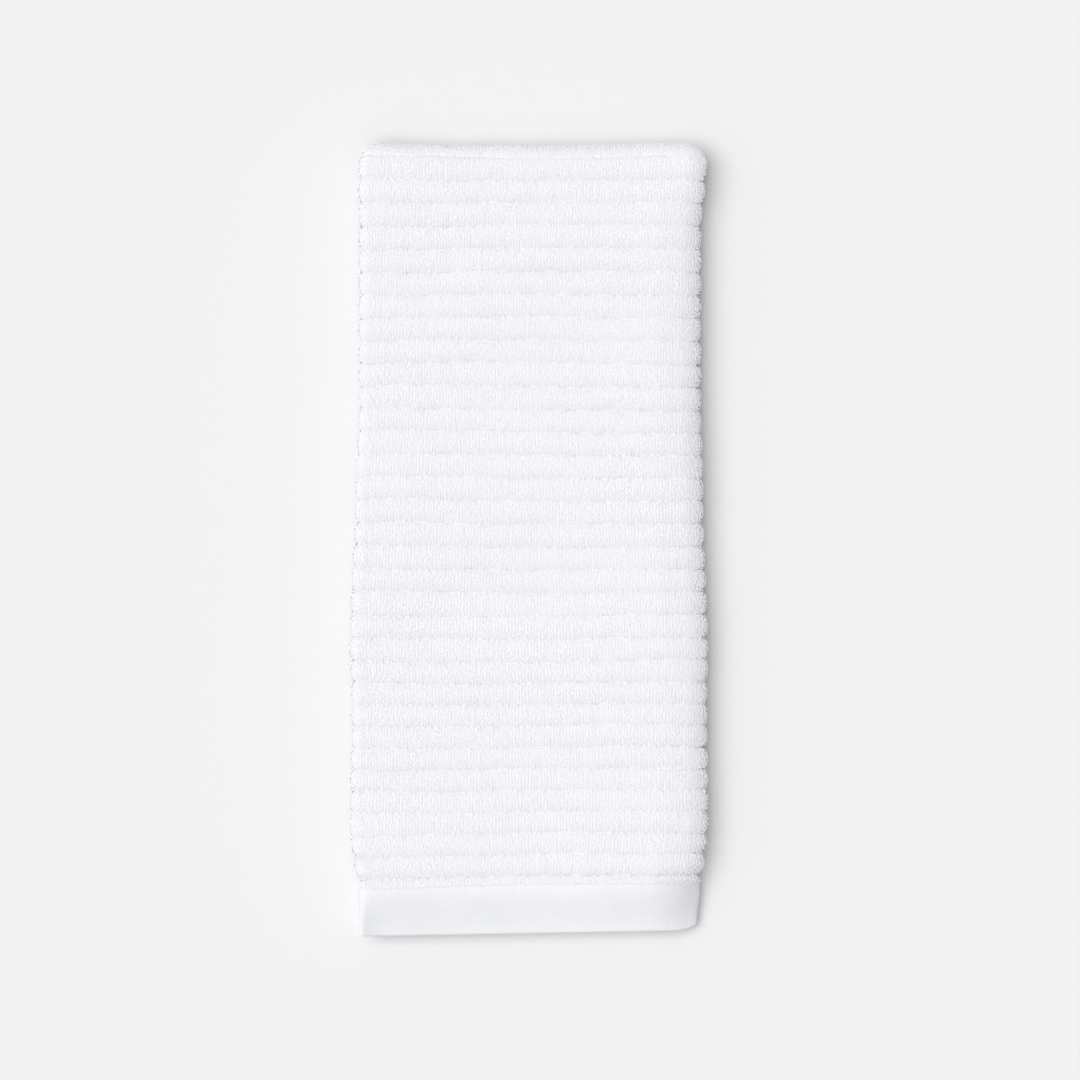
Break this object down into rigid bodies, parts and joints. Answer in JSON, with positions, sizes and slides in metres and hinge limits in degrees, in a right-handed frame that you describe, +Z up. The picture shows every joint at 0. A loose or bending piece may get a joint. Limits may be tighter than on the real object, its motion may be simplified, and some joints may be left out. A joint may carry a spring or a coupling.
{
  "type": "hand towel",
  "caption": "White ribbed terry hand towel, folded in thirds and then in half, with a flat-woven band at each hem.",
  "frame": {"origin": "Centre of the folded towel's bounding box in X and Y, at the level of the surface that it lies on.", "axes": "+X to the side fold from which the inner flap turns under, the right edge seen from above; +Y along the towel to the cross fold; +Z up. The hems are at -Y."},
  "size_m": [0.1726, 0.3826, 0.0204],
  "materials": {
    "terry_cotton": "soft looped pile in ribs, with a flat-woven band at each hem"
  },
  "bodies": {
    "root": {"towel": "terry_cotton"}
  },
  "joints": []
}
